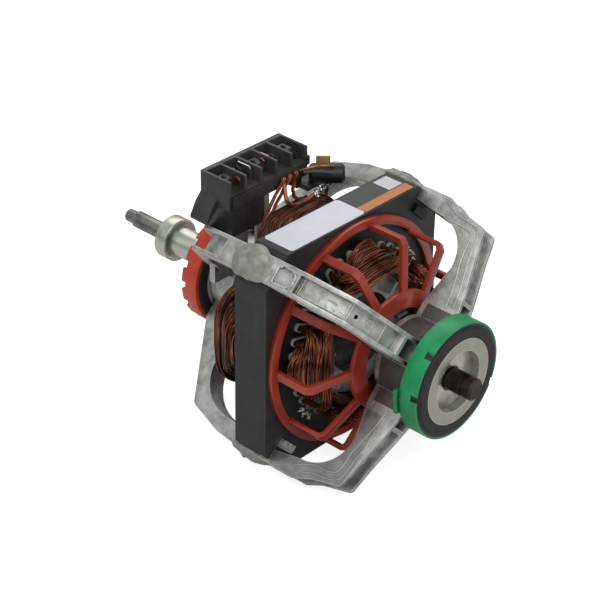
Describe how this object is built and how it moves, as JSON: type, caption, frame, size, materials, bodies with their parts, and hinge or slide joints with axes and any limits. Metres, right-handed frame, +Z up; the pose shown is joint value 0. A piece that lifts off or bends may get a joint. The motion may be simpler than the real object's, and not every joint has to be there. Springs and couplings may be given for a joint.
{
  "type": "dryer motor",
  "caption": "Open-frame induction motor with square stack, wound coils, cast four-arm end shields, speed switch, rubber mounting rings and a belt pulley on a long rear shaft.",
  "frame": {"origin": "centre of the front mounting ring, on the shaft axis", "axes": "+X along the shaft toward the front tip, +Z up toward the switch, +Y across the motor"},
  "size_m": [0.271, 0.1382, 0.1591],
  "materials": {
    "laminations": "black lacquered edge laminations",
    "liner_paper": "aramid slot paper",
    "bright_steel": "bright plated steel",
    "white_label": "satin paper, blank",
    "dark_label": "satin paper, dark with an orange field",
    "copper_wire": "enamelled copper wire",
    "start_wire": "enamelled copper wire, darker",
    "guard_plastic": "red-brown moulding",
    "cast_aluminium": "rough die cast",
    "bond_compound": "grey-green bonding compound",
    "sleeve_bronze": "sintered bronze",
    "felt": "oil felt",
    "plated_cap": "zinc plated pressing",
    "black_rubber": "black rubber",
    "green_band": "green moulding",
    "orange_band": "orange-red moulding",
    "switch_plastic": "black phenolic moulding",
    "contact_brass": "contact bronze",
    "protector_case": "dark sleeve",
    "tab_brass": "brass",
    "ivory_plastic": "ivory moulding",
    "dark_steel": "oiled dark steel",
    "rotor_steel": "turned laminations",
    "rotor_aluminium": "die cast",
    "zinc_plate": "yellow zinc plate",
    "collar_steel": "pressed steel",
    "fibre": "phenolic fibre"
  },
  "bodies": {
    "stator": {"stator_core": "laminations", "slot_liners": "liner_paper", "stack_cleats": "bright_steel", "data_label": "white_label", "wiring_label": "dark_label", "main_coil_right": "copper_wire", "main_coil_top": "copper_wire", "main_coil_left": "copper_wire", "main_coil_bottom": "copper_wire", "start_coil_top_right": "start_wire", "start_coil_top_left": "start_wire", "start_coil_bottom_left": "start_wire", "start_coil_bottom_right": "start_wire", "winding_guard": "guard_plastic", "front_end_shield": "cast_aluminium", "rear_end_shield": "cast_aluminium", "corner_bonds": "bond_compound", "front_bearing": "sleeve_bronze", "rear_bearing": "sleeve_bronze", "front_oil_felt": "felt", "rear_oil_felt": "felt", "front_felt_retainer": "bright_steel", "rear_felt_retainer": "bright_steel", "front_bearing_cap": "plated_cap", "rear_bearing_cap": "plated_cap", "front_rubber_ring": "black_rubber", "rear_rubber_ring": "black_rubber", "front_mount_band": "green_band", "rear_mount_band": "orange_band", "switch_housing": "switch_plastic", "switch_screws": "bright_steel", "spade_terminals": "bright_steel", "contact_blades": "contact_brass", "lever_pin": "bright_steel", "thermal_protector": "protector_case", "protector_tab": "tab_brass", "lead_wires": "copper_wire"},
    "rotor": {"rotor_shaft": "dark_steel", "rotor_core": "rotor_steel", "rotor_bars": "rotor_aluminium", "front_fan_ring": "rotor_aluminium", "rear_fan_ring": "rotor_aluminium", "belt_pulley": "zinc_plate", "front_thrust_collar": "collar_steel", "rear_thrust_collar": "collar_steel", "front_thrust_washer": "fibre", "rear_thrust_washer": "fibre", "governor_base": "collar_steel", "governor_pins": "bright_steel", "governor_springs": "bright_steel"},
    "governor_spool": {"governor_spool": "ivory_plastic"},
    "weight_upper": {"governor_weight_upper": "rotor_steel"},
    "weight_lower": {"governor_weight_lower": "rotor_steel"},
    "switch_lever": {"switch_lever": "ivory_plastic"}
  },
  "joints": [
    {"name": "rotor_spin", "type": "hinge", "parent": "stator", "child": "rotor", "pos_m": [-0.0815, 0, 0], "axis": [1, 0, 0], "continuous": true},
    {"name": "spool_slide", "type": "slide", "parent": "rotor", "child": "governor_spool", "axis": [1, 0, 0], "range_m": [0, 0.003]},
    {"name": "weight_upper_swing", "type": "hinge", "parent": "rotor", "child": "weight_upper", "pos_m": [-0.13, 0, 0.02], "axis": [0, -1, 0], "range_deg": [0, 20]},
    {"name": "weight_lower_swing", "type": "hinge", "parent": "rotor", "child": "weight_lower", "pos_m": [-0.13, 0, -0.02], "axis": [0, 1, 0], "range_deg": [0, 20]},
    {"name": "lever_swing", "type": "hinge", "parent": "stator", "child": "switch_lever", "pos_m": [-0.1398, 0, 0.066], "axis": [0, -1, 0], "range_deg": [0, 3.2]}
  ],
  "couplings": [
    {"joint": "weight_upper_swing", "follows": "spool_slide", "rad_per_m": 116.34},
    {"joint": "weight_lower_swing", "follows": "spool_slide", "rad_per_m": 116.34},
    {"joint": "lever_swing", "follows": "spool_slide", "rad_per_m": 18.18}
  ]
}
